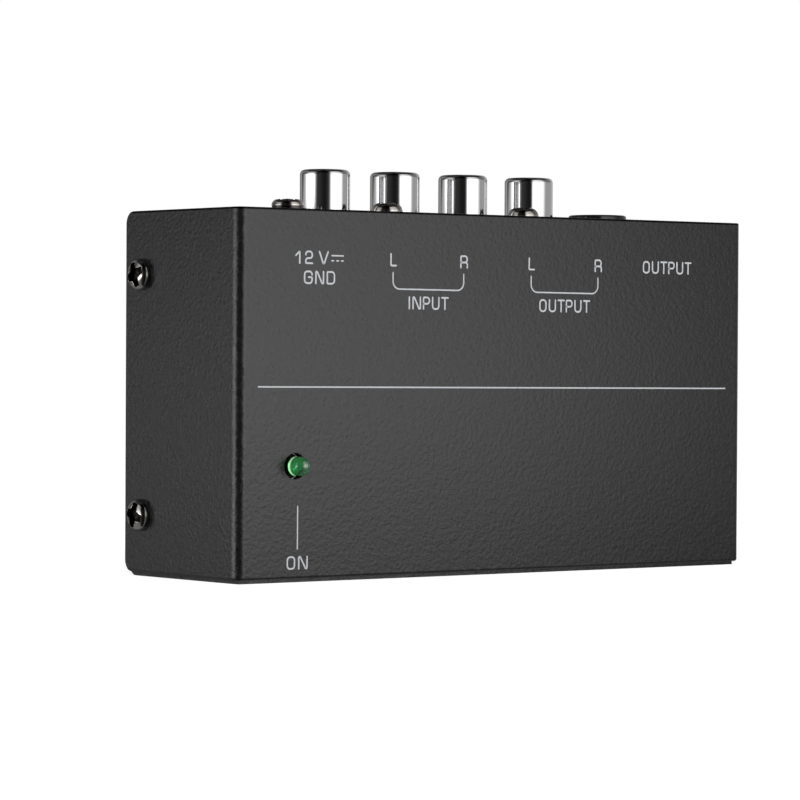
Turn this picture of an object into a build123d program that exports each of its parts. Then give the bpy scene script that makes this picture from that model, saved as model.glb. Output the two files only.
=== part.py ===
"""Phono preamp: a folded steel case with a row of jacks along its top edge and one circuit board inside.

Axes: X runs along the printed front from left to right, Y from the front to the back plate, and Z up to the
connector panel. The origin is on the underside, below the centre of the case. Lengths are millimetres.
"""
from build123d import *
import os

# ---- Folded sheets: the cover makes the front and both ends, the tray makes the other three walls ----
sheet = 0.8
bend_radius = 1.5
tray_gap = 0.2
cover_rise = 0.55
cover_corner_radius = 2.0
cover_bottom_round = 0.45
cover_top_round = 0.25
ear_depth = 9.4
ear_height = 12.0
ear_relief = 0.8
collar_wall = 0.9
collar_length = 1.6
overcut = 1.0  # how far a cut runs past the faces that it opens

# ---- Jacks, left to right along the panel ----
end_space_left = 10.9
end_space_right = 9.3
jack_axis_depth = 17.6
jack_axis_height = 6.4
jack_pitch = 14.0
shell_radius = 4.0
shell_wall = 1.0
shell_foot_radius = 4.2
shell_rise = 7.05
shell_seat = 5.0
shell_rim_round = 0.8
insert_recess = 0.4
insert_mouth_chamfer = 0.4
contact_bore_radius = 1.65
contact_wall = 0.3
contact_recess = 1.2
contact_length = 9.5
block_side = 6.9
block_front = 9.6
block_depth = 11.0
block_gap = 0.2
block_ledge = 0.4
block_screw_offset = 7.1
block_screw_length = 7.0
block_chamfer = 0.9
block_relief_width = 3.2
block_screw_well = 1.0  # depth left below the screw's point
peg_radius = 0.9
peg_inset = 1.1
power_body_width = 9.0
power_body_front = 4.5
power_body_depth = 14.0
power_block_gap = 2.4
power_bore_radius = 2.85
power_bore_depth = 9.5
power_nose_radius = 3.8
power_pin_radius = 1.05
power_pin_shoulder_radius = 1.4
power_pin_recess = 1.0
power_spring_end = 1.0
stereo_gap = 0.6
stereo_body_width = 15.0
stereo_body_front = 7.2
stereo_body_depth = 28.0
stereo_bore_radius = 3.25
stereo_bushing_radius = 4.85
stereo_bushing_rise = 1.27
stereo_bushing_length = 7.0
stereo_channel_radius = 3.5
stereo_wall = 0.8
spring_first_level = 2.5
spring_length = 7.2
spring_foot_rise = 1.5
spring_slope_rise = 1.0
spring_bow_share = 0.7
spring_bend = 0.5
hole_gap = 0.15
fit_gap = 0.05

# ---- Jack contacts ----
strip = 0.4
tail_width = 1.2
tail_drop = 1.4
board_stickout = 1.2
spring_width = 3.0
spring_bulge = 0.9

# ---- Screws ----
head_radius = 2.5
head_height = 1.75
head_round = 0.9
crown_radius = 7.0
screw_radius = 1.5
screw_clearance = 0.15
cross_width = 0.8
cross_span = 3.7
cross_depth = 1.1
case_screw_length = 6.0
case_screw_from_back = 4.55
case_screw_bottom = 9.6
case_screw_spacing = 37.45

# ---- Ground terminal ----
ground_from_left = 15.2
ground_from_front = 8.4
ground_washer_radius = 2.9
ground_washer_thickness = 0.35
ground_head_height = 1.5
ground_screw_length = 8.4
ground_nut_flats = 5.5
ground_nut_thickness = 2.4
lug_radius = 2.9
lug_thickness = 0.5
lug_width = 2.6
lug_reach = 6.9
wire_radius = 0.6
wire_drop = 3.0
wire_bend = 1.5
wire_start_gap = 1.2

# ---- Light ----
led_from_left = 10.75
led_height = 17.75
led_radius = 1.55
led_flange_radius = 1.9
led_flange_thickness = 1.0
led_stand_out = 3.0
led_hole_radius = 2.05
led_lead_radius = 0.25
led_lead_offset = 1.27
led_spacer_radius = 2.2

# ---- Circuit board and what stands on it ----
board_thickness = 1.6
standoff_height = 4.0
board_edge_gap = 2.2
board_side_gap = 1.2
board_top_gap = 3.0
board_corner_radius = 0.8
boss_radius = 2.6
boss_inset = 4.3
board_screw_radius = 1.25
board_screw_head_radius = 2.25
board_screw_head_height = 1.5
board_screw_length = 5.0
slot_width = 0.7
slot_depth = 0.7
row_gap = 2.4
resistor_span = 10.4
resistor_body_length = 6.3
resistor_body_radius = 1.2
resistor_lead_radius = 0.3
resistor_pitch = 4.2
chip_length = 9.8
chip_body_width = 6.2
chip_pin_span = 7.6
chip_height = 3.3
chip_lift = 0.6
chip_pins_per_side = 4
chip_pin_pitch = 2.54
chip_pitch = 14.0
film_length = 7.2
film_thickness = 4.5
film_height = 7.5
film_edge = 0.4
film_pitch = 10.5
electrolytic_radius = 3.15
electrolytic_height = 11.0
electrolytic_edge = 0.4
groove_from_foot = 2.2
groove_width = 0.8
groove_depth = 0.2
electrolytic_pitch = 8.6
diode_radius = 1.35
diode_length = 5.2
diode_from_jack = 3.75  # left of the stereo jack's axis

# ---- Places along X, summed from the left end ----
power_from_left = end_space_left + power_body_width / 2
input_from_left = power_from_left + power_body_width / 2 + power_block_gap + block_side
block_pitch = jack_pitch + 2 * block_side + block_gap
output_from_left = input_from_left + block_pitch
stereo_from_left = output_from_left + jack_pitch + block_side + stereo_gap + stereo_body_width / 2
case_width = stereo_from_left + stereo_body_width / 2 + end_space_right
left = -case_width / 2
right = case_width / 2
power_x = left + power_from_left
input_x = left + input_from_left
output_x = left + output_from_left
stereo_x = left + stereo_from_left
jack_block_places = {"input": input_x, "output": output_x}
ground_x = left + ground_from_left
led_x = left + led_from_left
tray_left = left + sheet + tray_gap
tray_right = right - sheet - tray_gap
ear_return = 2 * bend_radius

# ---- Places along Y, summed from the front ----
case_depth = jack_axis_depth + jack_axis_height + board_thickness + standoff_height + sheet
front = -case_depth / 2
back = case_depth / 2
jack_y = front + jack_axis_depth
board_front = jack_y + jack_axis_height
board_back = board_front + board_thickness
plate_inside = back - sheet
tray_front = front + sheet + tray_gap
ground_y = front + ground_from_front
case_screw_y = back - case_screw_from_back

# ---- Places along Z: the rows on the board carry the jacks above them ----
board_bottom = sheet + board_edge_gap
resistor_z = board_bottom + row_gap + resistor_span / 2
chip_z = resistor_z + resistor_span / 2 + row_gap + chip_pin_span / 2
film_z = chip_z + chip_pin_span / 2 + row_gap + film_thickness / 2
electrolytic_z = film_z + film_thickness / 2 + row_gap + electrolytic_radius
block_bottom = electrolytic_z + electrolytic_radius + row_gap + tail_drop
panel_inside = block_bottom + block_depth
case_height = panel_inside + sheet
board_top = panel_inside - board_top_gap
board_left = left + case_screw_length + board_side_gap
board_right = right - case_screw_length - board_side_gap
stereo_bottom = panel_inside - stereo_body_depth
power_bottom = panel_inside - power_body_depth
shell_top = case_height + shell_rise
shell_bottom = panel_inside - shell_seat
case_screw_levels = [case_screw_bottom, case_screw_bottom + case_screw_spacing]

# ---- Boss places: two low in the corners, two beside the row of tall capacitors ----
low_boss_z = board_bottom + boss_inset
left_boss_x = board_left + boss_inset
right_boss_x = board_right - boss_inset
high_right_boss_x = stereo_x - stereo_body_width / 2 - board_screw_head_radius - row_gap
boss_places = [
    (left_boss_x, low_boss_z),
    (right_boss_x, low_boss_z),
    (left_boss_x, electrolytic_z),
    (high_right_boss_x, electrolytic_z),
]
row_left = led_x + led_spacer_radius + row_gap
row_right = high_right_boss_x - board_screw_head_radius - row_gap / 2


def box(x0, x1, y0, y1, z0, z1):
    """Block between two opposite corners."""
    return Pos((x0 + x1) / 2, (y0 + y1) / 2, (z0 + z1) / 2) * Box(x1 - x0, y1 - y0, z1 - z0)


def post(x, y, z0, z1, radius):
    """Cylinder that stands along Z."""
    return Pos(x, y, (z0 + z1) / 2) * Cylinder(radius, z1 - z0)


def rod_y(x, z, y0, y1, radius):
    """Cylinder that lies along Y."""
    return Pos(x, (y0 + y1) / 2, z) * Rot(90, 0, 0) * Cylinder(radius, y1 - y0)


def rod_x(y, z, x0, x1, radius):
    """Cylinder that lies along X."""
    return Pos((x0 + x1) / 2, y, z) * Rot(0, 90, 0) * Cylinder(radius, x1 - x0)


def group(shapes):
    """Separate solids of one node, side by side in a compound."""
    return Compound([solid for shape in shapes for solid in shape.solids()])


def u_profile(width, depth, inset):
    """U-shaped fold seen from above: the web is inset from y = 0, and the open side reaches past depth."""
    outline = Pos(0, inset + depth / 2) * Rectangle(width - 2 * inset, depth)
    return fillet(outline.vertices().sort_by(Axis.Y)[:2], bend_radius - inset)


def make_cover():
    """Front and both ends in one folded sheet, open at the back, the top and the bottom."""
    height = case_height - cover_rise
    skin = extrude(u_profile(case_width, case_depth, 0), height)
    skin = skin & box(-case_width, case_width, -overcut, case_depth, -overcut, height + overcut)
    skin = fillet(skin.faces().sort_by(Axis.Z)[0].edges().sort_by(Axis.Y)[:-1], cover_bottom_round)
    skin = fillet(skin.faces().sort_by(Axis.Z)[-1].edges().sort_by(Axis.Y)[:-1], cover_top_round)
    hollow = extrude(u_profile(case_width, case_depth, sheet), height)
    cover = Pos(0, front, cover_rise) * (skin - hollow)
    corner_y = back - cover_corner_radius
    for end_z, corner_z in (
        (cover_rise, cover_rise + cover_corner_radius),
        (case_height, case_height - cover_corner_radius),
    ):
        low, high = sorted((end_z, corner_z))
        square = box(left - overcut, right + overcut, corner_y, back + overcut, low, high)
        cover -= square - rod_x(corner_y, corner_z, left - overcut, right + overcut, cover_corner_radius)
    for z in case_screw_levels:
        cover -= rod_x(case_screw_y, z, left - overcut, right + overcut, screw_radius + screw_clearance)
    cover -= rod_y(led_x, led_height, front - overcut, front + sheet + overcut, led_hole_radius)
    return cover


def make_ear(side, z):
    """Ear folded forward from the back plate at one end, with a collar that the case screw turns into."""
    skin = box(0, ear_return, 0, ear_depth, 0, ear_height)
    fold = skin.edges().filter_by(Axis.Z).sort_by(Axis.X)[:2].sort_by(Axis.Y)[-1]
    skin = fillet(fold, bend_radius)
    hollow = box(sheet, ear_return + overcut, -overcut, ear_depth - sheet, -overcut, ear_height + overcut)
    fold = hollow.edges().filter_by(Axis.Z).sort_by(Axis.X)[:2].sort_by(Axis.Y)[-1]
    hollow = fillet(fold, bend_radius - sheet)
    ear = Pos(tray_left, back - ear_depth, z - ear_height / 2) * (skin - hollow)
    hole_radius = screw_radius + fit_gap
    ear += rod_x(case_screw_y, z, tray_left, tray_left + collar_length, hole_radius + collar_wall)
    hole_end = tray_left + collar_length + overcut
    ear -= rod_x(case_screw_y, z, tray_left - overcut, hole_end, hole_radius)
    if side > 0:
        ear = mirror(ear, about=Plane.YZ)
    return ear


def make_tray():
    """Bottom flange, back plate and connector panel in one folded sheet, with two ears at each end."""
    reach = back - tray_front
    width = tray_right - tray_left
    skin = u_profile(case_height, reach, 0)
    fold = extrude(skin, width) - extrude(u_profile(case_height, reach, sheet), width)
    fold = fold & box(-case_height, case_height, -overcut, reach, -overcut, width + overcut)
    tray = Pos(tray_left, back, case_height / 2) * Rot(0, 90, 0) * Rot(0, 0, 180) * fold
    relief = ear_height / 2 + ear_relief
    for z in case_screw_levels:
        for side, end in ((-1, tray_left), (1, tray_right)):
            low, high = sorted((end, end - side * ear_return))
            tray -= box(low, high, plate_inside - overcut, back + overcut, z - relief, z + relief)
            tray += make_ear(side, z)
    screw_hole = screw_radius + screw_clearance
    holes = [(ground_x, ground_y, screw_hole)]
    for x in jack_block_places.values():
        holes.append((x, jack_y, shell_foot_radius + hole_gap))
        holes.append((x + jack_pitch, jack_y, shell_foot_radius + hole_gap))
        holes.append((x + jack_pitch / 2, jack_y - block_screw_offset, screw_hole))
    holes.append((power_x, jack_y, power_nose_radius + hole_gap))
    holes.append((stereo_x, jack_y, stereo_bushing_radius + hole_gap))
    for x, y, radius in holes:
        tray -= post(x, y, panel_inside - overcut, case_height + overcut, radius)
    return tray


def pan_screw(length, height=head_height):
    """Pan-head screw along Z with its seat at z = 0; the crown is domed and has a cross recess."""
    head = fillet(post(0, 0, 0, height, head_radius).edges().group_by(Axis.Z)[-1], head_round)
    head = head & Pos(0, 0, height - crown_radius) * Sphere(crown_radius)
    half = cross_span / 2
    slot = box(-half, half, -cross_width / 2, cross_width / 2, height - cross_depth, height)
    for turn in (0, 90):
        head -= Rot(0, 0, turn) * slot
    return head + post(0, 0, -length, 0, screw_radius)


def board_screw():
    """Slotted cheese-head screw along Z with its seat at z = 0."""
    top = board_screw_head_height
    head = post(0, 0, 0, top, board_screw_head_radius)
    half = board_screw_head_radius + overcut
    head -= box(-half, half, -slot_width / 2, slot_width / 2, top - slot_depth, top)
    return head + post(0, 0, -board_screw_length, 0, board_screw_radius)


def board_tail(x, y, z, top):
    """Flat solder tail: down from top at (x, y), then back along Y through the board at height z."""
    half = tail_width / 2
    end = board_back + board_stickout
    down = box(x - half, x + half, y - strip / 2, y + strip / 2, z - strip / 2, top)
    across = box(x - half, x + half, y - strip / 2, end, z - strip / 2, z + strip / 2)
    return down + across


def make_case_screws():
    """One screw through each end flange of the cover into each ear."""
    screws = []
    for z in case_screw_levels:
        screws.append(Pos(left, case_screw_y, z) * Rot(0, -90, 0) * pan_screw(case_screw_length))
        screws.append(Pos(right, case_screw_y, z) * Rot(0, 90, 0) * pan_screw(case_screw_length))
    return group(screws)


# ---- Jack pairs ----
shell_inside = shell_radius - shell_wall
insert_radius = shell_inside - fit_gap
contact_radius = contact_bore_radius + contact_wall
insert_top = shell_top - insert_recess
contact_top = insert_top - contact_recess
contact_bottom = contact_top - contact_length
tail_z = block_bottom - tail_drop / 2
shell_tail_offset = shell_inside + strip / 2
peg_z = block_bottom + block_depth / 2
peg_offset = jack_pitch / 2 + block_side - peg_inset


def make_jack_block(x):
    """Moulded block behind the panel: two stepped wells for the shells, a screw hole and two board pegs."""
    block_left = x - block_side
    block_right = x + jack_pitch + block_side
    block = box(block_left, block_right, jack_y - block_front, board_front, block_bottom, panel_inside)
    block = chamfer(block.edges().filter_by(Axis.Z).sort_by(Axis.Y)[:2], block_chamfer)
    ledge_radius = shell_foot_radius - block_ledge
    for jack_x in (x, x + jack_pitch):
        block -= post(jack_x, jack_y, shell_bottom, panel_inside + overcut, shell_foot_radius + fit_gap)
        block -= post(jack_x, jack_y, block_bottom - overcut, shell_bottom + overcut, ledge_radius)
    middle = x + jack_pitch / 2
    screw_y = jack_y - block_screw_offset
    screw_floor = case_height - block_screw_length - block_screw_well
    block -= post(middle, screw_y, screw_floor, panel_inside + overcut, screw_radius + fit_gap)
    half = block_relief_width / 2
    relief_back = board_front - half
    block -= box(middle - half, middle + half, jack_y, relief_back, block_bottom - overcut, shell_bottom)
    for side in (-1, 1):
        block += rod_y(middle + side * peg_offset, peg_z, board_front - overcut, board_back, peg_radius)
    return block


def make_shell(x):
    """Drawn metal shell with a rolled rim and a solder tail at its foot."""
    shell = post(x, jack_y, shell_bottom, shell_top, shell_radius)
    shell = fillet(shell.edges().group_by(Axis.Z)[-1], min(shell_rim_round, shell_wall - fit_gap))
    shell += post(x, jack_y, shell_bottom, case_height, shell_foot_radius)
    shell -= post(x, jack_y, shell_bottom - overcut, shell_top + overcut, shell_inside)
    tail_left = x - shell_inside - strip
    tail_right = x - shell_inside
    tail_front = jack_y - tail_width / 2
    tail_low = tail_z - strip / 2
    tail = box(tail_left, tail_right, tail_front, tail_front + tail_width, tail_low, shell_bottom + strip)
    foot_high = tail_z + tail_width / 2
    foot = box(tail_left, tail_right, tail_front, board_back + board_stickout, tail_low, foot_high)
    return shell + tail + foot


def make_insert(x):
    """Coloured plastic core of one shell, bored for the centre contact and countersunk at its mouth."""
    core = post(x, jack_y, contact_bottom, insert_top, insert_radius)
    core -= post(x, jack_y, contact_bottom - overcut, insert_top + overcut, contact_radius + fit_gap)
    mouth = core.edges().filter_by(GeomType.CIRCLE).group_by(Axis.Z)[-1].sort_by(SortBy.RADIUS)[0]
    return chamfer(mouth, insert_mouth_chamfer)


def make_centre_contact(x):
    """Tube that grips a plug's centre pin, with a closed foot and a solder tail."""
    tube = post(x, jack_y, contact_bottom, contact_top, contact_radius)
    tube -= post(x, jack_y, contact_bottom + strip, contact_top + overcut, contact_bore_radius)
    return tube + board_tail(x, jack_y, tail_z, contact_bottom + strip / 2)


def make_block_screws():
    """The screw between each pair of shells, through the panel into the block."""
    screw_y = jack_y - block_screw_offset
    screws = []
    for x in jack_block_places.values():
        screws.append(Pos(x + jack_pitch / 2, screw_y, case_height) * pan_screw(block_screw_length))
    return group(screws)


# ---- Power jack ----
power_spring_x = power_x + power_bore_radius + strip
power_bore_floor = case_height - power_bore_depth
power_leaf_bottom = power_bottom + power_spring_end + fit_gap


def make_power_body():
    """Moulded power jack: round nose in the panel, plug bore, and a slot for the spring on one side."""
    body = box(
        power_x - power_body_width / 2, power_x + power_body_width / 2,
        jack_y - power_body_front, board_front, power_bottom, panel_inside,
    )
    body += post(power_x, jack_y, panel_inside, case_height, power_nose_radius)
    shoulder_hole = power_pin_shoulder_radius + fit_gap
    body -= post(power_x, jack_y, power_bore_floor, case_height + overcut, power_bore_radius)
    body -= post(power_x, jack_y, power_bottom - overcut, power_bore_floor + overcut, shoulder_hole)
    slot_bottom = power_bottom + power_spring_end
    slot_top = panel_inside - power_spring_end
    slot_x = power_x + power_pin_shoulder_radius + strip
    slot_y = jack_y - tail_width
    return body - box(slot_x, power_spring_x + strip, slot_y, board_front + overcut, slot_bottom, slot_top)


def make_power_pin():
    """Centre pin with a rounded tip and a shoulder in the body, and its solder tail under the body."""
    top = case_height - power_pin_recess
    pin = post(power_x, jack_y, power_bottom, top, power_pin_radius)
    pin = fillet(pin.edges().group_by(Axis.Z)[-1], power_pin_radius / 2)
    pin += post(power_x, jack_y, power_bottom, power_bore_floor, power_pin_shoulder_radius)
    return pin + board_tail(power_x, jack_y, power_bottom - tail_drop / 2, power_bottom)


def make_power_spring():
    """Leaf that presses on the outside of the plug, bent back through the board."""
    leaf_top = panel_inside - power_spring_end - strip
    leaf_x = power_spring_x - strip / 2
    near_y = jack_y - tail_width + fit_gap
    foot_top = power_leaf_bottom + tail_width
    leaf = box(leaf_x, leaf_x + strip, near_y, board_front - strip, power_leaf_bottom, leaf_top)
    foot = box(leaf_x, leaf_x + strip, near_y, board_back + board_stickout, power_leaf_bottom, foot_top)
    return leaf + foot


# ---- Stereo jack ----
spring_rest_x = stereo_channel_radius + strip
spring_slot_outer = stereo_body_width / 2 - stereo_wall
spring_foot_x = spring_slot_outer - strip
bushing_top = case_height + stereo_bushing_rise
bushing_foot = panel_inside - stereo_bushing_length
spring_feet = []
spring_spacing = spring_length / 2 + spring_slope_rise
for index, side in enumerate((-1, 1, -1)):
    spring_feet.append((side, stereo_bottom + spring_first_level + index * spring_spacing))


def make_stereo_body():
    """Moulded jack body with a round bushing through the panel, a plug channel and three spring slots."""
    body = box(
        stereo_x - stereo_body_width / 2, stereo_x + stereo_body_width / 2,
        jack_y - stereo_body_front, board_front, stereo_bottom, panel_inside,
    )
    body = chamfer(body.edges().filter_by(Axis.Z).sort_by(Axis.Y)[:2], stereo_wall)
    bushing = post(stereo_x, jack_y, panel_inside - overcut, bushing_top, stereo_bushing_radius)
    body += fillet(bushing.edges().group_by(Axis.Z)[-1], stereo_wall / 2)
    body -= post(stereo_x, jack_y, bushing_foot, bushing_top + overcut, stereo_bore_radius)
    body -= post(stereo_x, jack_y, stereo_bottom + stereo_wall, bushing_foot, stereo_channel_radius)
    slot_half = spring_width / 2 + fit_gap
    for side, low in spring_feet:
        near = stereo_x + side * (stereo_channel_radius - spring_bulge)
        far = stereo_x + side * spring_slot_outer
        x0, x1 = sorted((near, far))
        slot_high = low + spring_length + strip
        body -= box(x0, x1, jack_y - slot_half, board_front + overcut, low - fit_gap, slot_high)
    return body


def make_stereo_contacts():
    """Tip, ring and sleeve leaves: each stands on a foot in its slot and bows inward to meet the plug."""
    leaves = []
    for side, low in spring_feet:
        slope_low = low + spring_foot_rise
        path = FilletPolyline(
            (spring_foot_x, low),
            (spring_foot_x, slope_low),
            (spring_rest_x, slope_low + spring_slope_rise),
            (stereo_channel_radius - spring_bulge, low + spring_length * spring_bow_share),
            (spring_rest_x, low + spring_length),
            radius=spring_bend,
        )
        leaf = extrude(Plane.XZ * trace(path, strip), spring_width / 2, both=True)
        pin_x = spring_foot_x - strip / 2
        leaf += box(pin_x, pin_x + strip, 0, board_back + board_stickout - jack_y, low, low + tail_width)
        if side < 0:
            leaf = mirror(leaf, about=Plane.YZ)
        leaves.append(Pos(stereo_x, jack_y, 0) * leaf)
    return group(leaves)


# ---- Ground terminal ----
washer_top = case_height + ground_washer_thickness
lug_bottom = panel_inside - lug_thickness
nut_bottom = lug_bottom - ground_nut_thickness
wire_x = power_x + power_body_width / 2 + power_block_gap / 2
wire_z = lug_bottom - wire_radius


def make_ground_screw():
    """Terminal screw of the turntable's ground lead, with its captive washer below the head."""
    return Pos(ground_x, ground_y, washer_top) * pan_screw(ground_screw_length, ground_head_height)


def make_ground_washer():
    """Captive washer that rises with the screw and clamps the lead."""
    ring = post(ground_x, ground_y, case_height, washer_top, ground_washer_radius)
    hole = screw_radius + fit_gap
    return ring - post(ground_x, ground_y, case_height - overcut, washer_top + overcut, hole)


def make_ground_nut():
    """Hexagon nut under the panel."""
    hexagon = Rot(0, 0, 30) * RegularPolygon(ground_nut_flats / 2, 6, major_radius=False)
    nut = Pos(ground_x, ground_y, nut_bottom) * extrude(hexagon, ground_nut_thickness)
    hole = screw_radius + fit_gap
    return nut - post(ground_x, ground_y, nut_bottom - overcut, lug_bottom + overcut, hole)


def make_ground_lug():
    """Stamped ring lug between the panel and the nut, with a tail for the wire."""
    lug = post(ground_x, ground_y, lug_bottom, panel_inside, lug_radius)
    half = lug_width / 2
    lug += box(ground_x, ground_x + lug_reach, ground_y - half, ground_y + half, lug_bottom, panel_inside)
    hole = screw_radius + screw_clearance
    return lug - post(ground_x, ground_y, lug_bottom - overcut, panel_inside + overcut, hole)


def make_ground_wire():
    """Insulated wire from the lug's tail, between two jacks, to the board."""
    middle_y = (ground_y + board_front) / 2
    start = (ground_x + ground_nut_flats / 2 + wire_start_gap, ground_y, wire_z)
    route = FilletPolyline(
        start,
        (wire_x, ground_y, wire_z),
        (wire_x, middle_y, wire_z - wire_drop),
        (wire_x, board_front, wire_z - wire_drop),
        radius=wire_bend,
    )
    section = Plane(origin=start, z_dir=(1, 0, 0)) * Circle(wire_radius)
    return sweep(section, path=route)


# ---- Light ----
led_tip = front - led_stand_out
led_seat = front + sheet + led_flange_thickness + fit_gap
led_flange_front = led_seat - led_flange_thickness


def make_led():
    """Domed epoxy lens that stands out through the cover, with its flange behind the cover's hole."""
    lens = rod_y(led_x, led_height, led_tip, led_flange_front, led_radius)
    lens = fillet(lens.edges().group_by(Axis.Y)[0], led_radius - fit_gap)
    return lens + rod_y(led_x, led_height, led_flange_front, led_seat, led_flange_radius)


def make_led_spacer():
    """Plastic tube that holds the light off the board."""
    bore = led_lead_offset + 2 * led_lead_radius
    tube = rod_y(led_x, led_height, led_seat, board_front, led_spacer_radius)
    return tube - rod_y(led_x, led_height, led_seat - overcut, board_front + overcut, bore)


def make_led_leads():
    """Two wires from the lens through the spacer and the board."""
    leads = []
    for side in (-1, 1):
        x = led_x + side * led_lead_offset
        leads.append(rod_y(x, led_height, led_seat, board_back + board_stickout, led_lead_radius))
    return group(leads)


# ---- Circuit board ----
tail_hole_radius = tail_width / 2 + hole_gap


def make_board():
    """Circuit board, with holes for its screws, the jacks' tails and pegs, and the light's leads."""
    board = box(board_left, board_right, board_front, board_back, board_bottom, board_top)
    board = fillet(board.edges().filter_by(Axis.Y), board_corner_radius)
    holes = []
    for x, z in boss_places:
        holes.append((x, z, board_screw_radius + hole_gap))
    for x in jack_block_places.values():
        for jack_x in (x, x + jack_pitch):
            holes.append((jack_x, tail_z, tail_hole_radius))
            holes.append((jack_x - shell_tail_offset, tail_z, tail_hole_radius))
        for side in (-1, 1):
            holes.append((x + jack_pitch / 2 + side * peg_offset, peg_z, peg_radius + hole_gap))
    holes.append((power_x, power_bottom - tail_drop / 2, tail_hole_radius))
    holes.append((power_spring_x, power_leaf_bottom + tail_width / 2, tail_hole_radius))
    for side, low in spring_feet:
        holes.append((stereo_x + side * spring_foot_x, low + tail_width / 2, tail_hole_radius))
    for side in (-1, 1):
        holes.append((led_x + side * led_lead_offset, led_height, led_lead_radius + hole_gap))
    for x, z, radius in holes:
        board -= rod_y(x, z, board_front - overcut, board_back + overcut, radius)
    return board


def make_bosses():
    """Threaded steel bosses welded to the back plate."""
    bore = board_screw_radius + fit_gap
    bosses = []
    for x, z in boss_places:
        boss = rod_y(x, z, board_back, plate_inside, boss_radius)
        bosses.append(boss - rod_y(x, z, board_back - overcut, plate_inside + overcut, bore))
    return group(bosses)


def make_board_screws():
    """One screw through the board into each boss."""
    return group([Pos(x, board_front, z) * Rot(90, 0, 0) * board_screw() for x, z in boss_places])


def row_places(pitch):
    """Evenly pitched places along a row of the board, as many as the row has room for."""
    count = int((row_right - row_left) // pitch)
    return [row_left + pitch * (index + 0.5) for index in range(count)]


def make_resistor(x):
    """Axial resistor that stands clear of the board on two bent leads."""
    body_y = board_front - resistor_body_radius - resistor_lead_radius
    low = resistor_z - resistor_body_length / 2
    high = resistor_z + resistor_body_length / 2
    body = post(x, body_y, low, high, resistor_body_radius)
    reach = resistor_span / 2 - resistor_lead_radius
    body += post(x, body_y, resistor_z - reach, resistor_z + reach, resistor_lead_radius)
    for side in (-1, 1):
        body += rod_y(x, resistor_z + side * reach, body_y, board_front, resistor_lead_radius)
    return body


def make_chip(x):
    """Eight-pin chip: moulded body on two rows of pins."""
    low = board_front - chip_lift - chip_height
    chip = box(
        x - chip_length / 2, x + chip_length / 2, low, board_front - chip_lift,
        chip_z - chip_body_width / 2, chip_z + chip_body_width / 2,
    )
    middle = (low + board_front - chip_lift) / 2
    for index in range(chip_pins_per_side):
        pin_x = x + (index - (chip_pins_per_side - 1) / 2) * chip_pin_pitch
        for side in (-1, 1):
            outer = chip_z + side * chip_pin_span / 2
            low_z, high_z = sorted((outer, outer - side * strip))
            chip += box(pin_x - strip, pin_x + strip, middle, board_front, low_z, high_z)
            low_z, high_z = sorted((outer, chip_z + side * chip_body_width / 2))
            chip += box(pin_x - strip, pin_x + strip, middle, middle + strip, low_z, high_z)
    return chip


def make_film_capacitor(x):
    """Boxed film capacitor that stands on the board."""
    case = box(
        x - film_length / 2, x + film_length / 2, board_front - film_height, board_front,
        film_z - film_thickness / 2, film_z + film_thickness / 2,
    )
    return chamfer(case.faces().sort_by(Axis.Y)[0].edges(), film_edge)


def make_electrolytic(x):
    """Round can with a pressed groove near its foot."""
    top = board_front - electrolytic_height
    groove_front = board_front - groove_from_foot - groove_width / 2
    groove_back = groove_front + groove_width
    can = rod_y(x, electrolytic_z, top, board_front, electrolytic_radius)
    can = chamfer(can.edges().group_by(Axis.Y)[0], electrolytic_edge)
    ring = rod_y(x, electrolytic_z, groove_front, groove_back, electrolytic_radius + overcut)
    return can - (ring - rod_y(x, electrolytic_z, top, board_front, electrolytic_radius - groove_depth))


def make_diode():
    """Supply diode, lying on the board below the stereo jack."""
    body_y = board_front - diode_radius
    middle = stereo_x - diode_from_jack
    body = rod_x(body_y, resistor_z, middle - diode_length / 2, middle + diode_length / 2, diode_radius)
    reach = diode_length / 2 + row_gap / 2
    body += rod_x(body_y, resistor_z, middle - reach, middle + reach, resistor_lead_radius)
    for side in (-1, 1):
        end = middle + side * (reach - resistor_lead_radius)
        body += rod_y(end, resistor_z, body_y, board_front, resistor_lead_radius)
    return body


# ---- Every node, by the name of its file ----
nodes = {
    "cover": make_cover(),
    "tray": make_tray(),
    "case_screws": make_case_screws(),
    "block_screws": make_block_screws(),
    "power_jack_body": make_power_body(),
    "power_jack_pin": make_power_pin(),
    "power_jack_spring": make_power_spring(),
    "stereo_jack_body": make_stereo_body(),
    "stereo_jack_contacts": make_stereo_contacts(),
    "ground_screw": make_ground_screw(),
    "ground_washer": make_ground_washer(),
    "ground_nut": make_ground_nut(),
    "ground_lug": make_ground_lug(),
    "ground_wire": make_ground_wire(),
    "led": make_led(),
    "led_spacer": make_led_spacer(),
    "led_leads": make_led_leads(),
    "circuit_board": make_board(),
    "board_bosses": make_bosses(),
    "board_screws": make_board_screws(),
    "resistors": group([make_resistor(x) for x in row_places(resistor_pitch)]),
    "preamp_chips": group([make_chip(x) for x in row_places(chip_pitch)]),
    "film_capacitors": group([make_film_capacitor(x) for x in row_places(film_pitch)]),
    "electrolytic_capacitors": group([make_electrolytic(x) for x in row_places(electrolytic_pitch)]),
    "supply_diode": make_diode(),
}
for name, x in jack_block_places.items():
    nodes[name + "_jack_block"] = make_jack_block(x)
    nodes[name + "_jack_shells"] = group([make_shell(x), make_shell(x + jack_pitch)])
left_jacks = list(jack_block_places.values())
right_jacks = [x + jack_pitch for x in left_jacks]
nodes["left_channel_inserts"] = group([make_insert(x) for x in left_jacks])
nodes["right_channel_inserts"] = group([make_insert(x) for x in right_jacks])
nodes["jack_centre_contacts"] = group([make_centre_contact(x) for x in left_jacks + right_jacks])

os.makedirs("parts", exist_ok=True)
for name, shape in nodes.items():
    export_step(shape, "parts/" + name + ".step")
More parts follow.
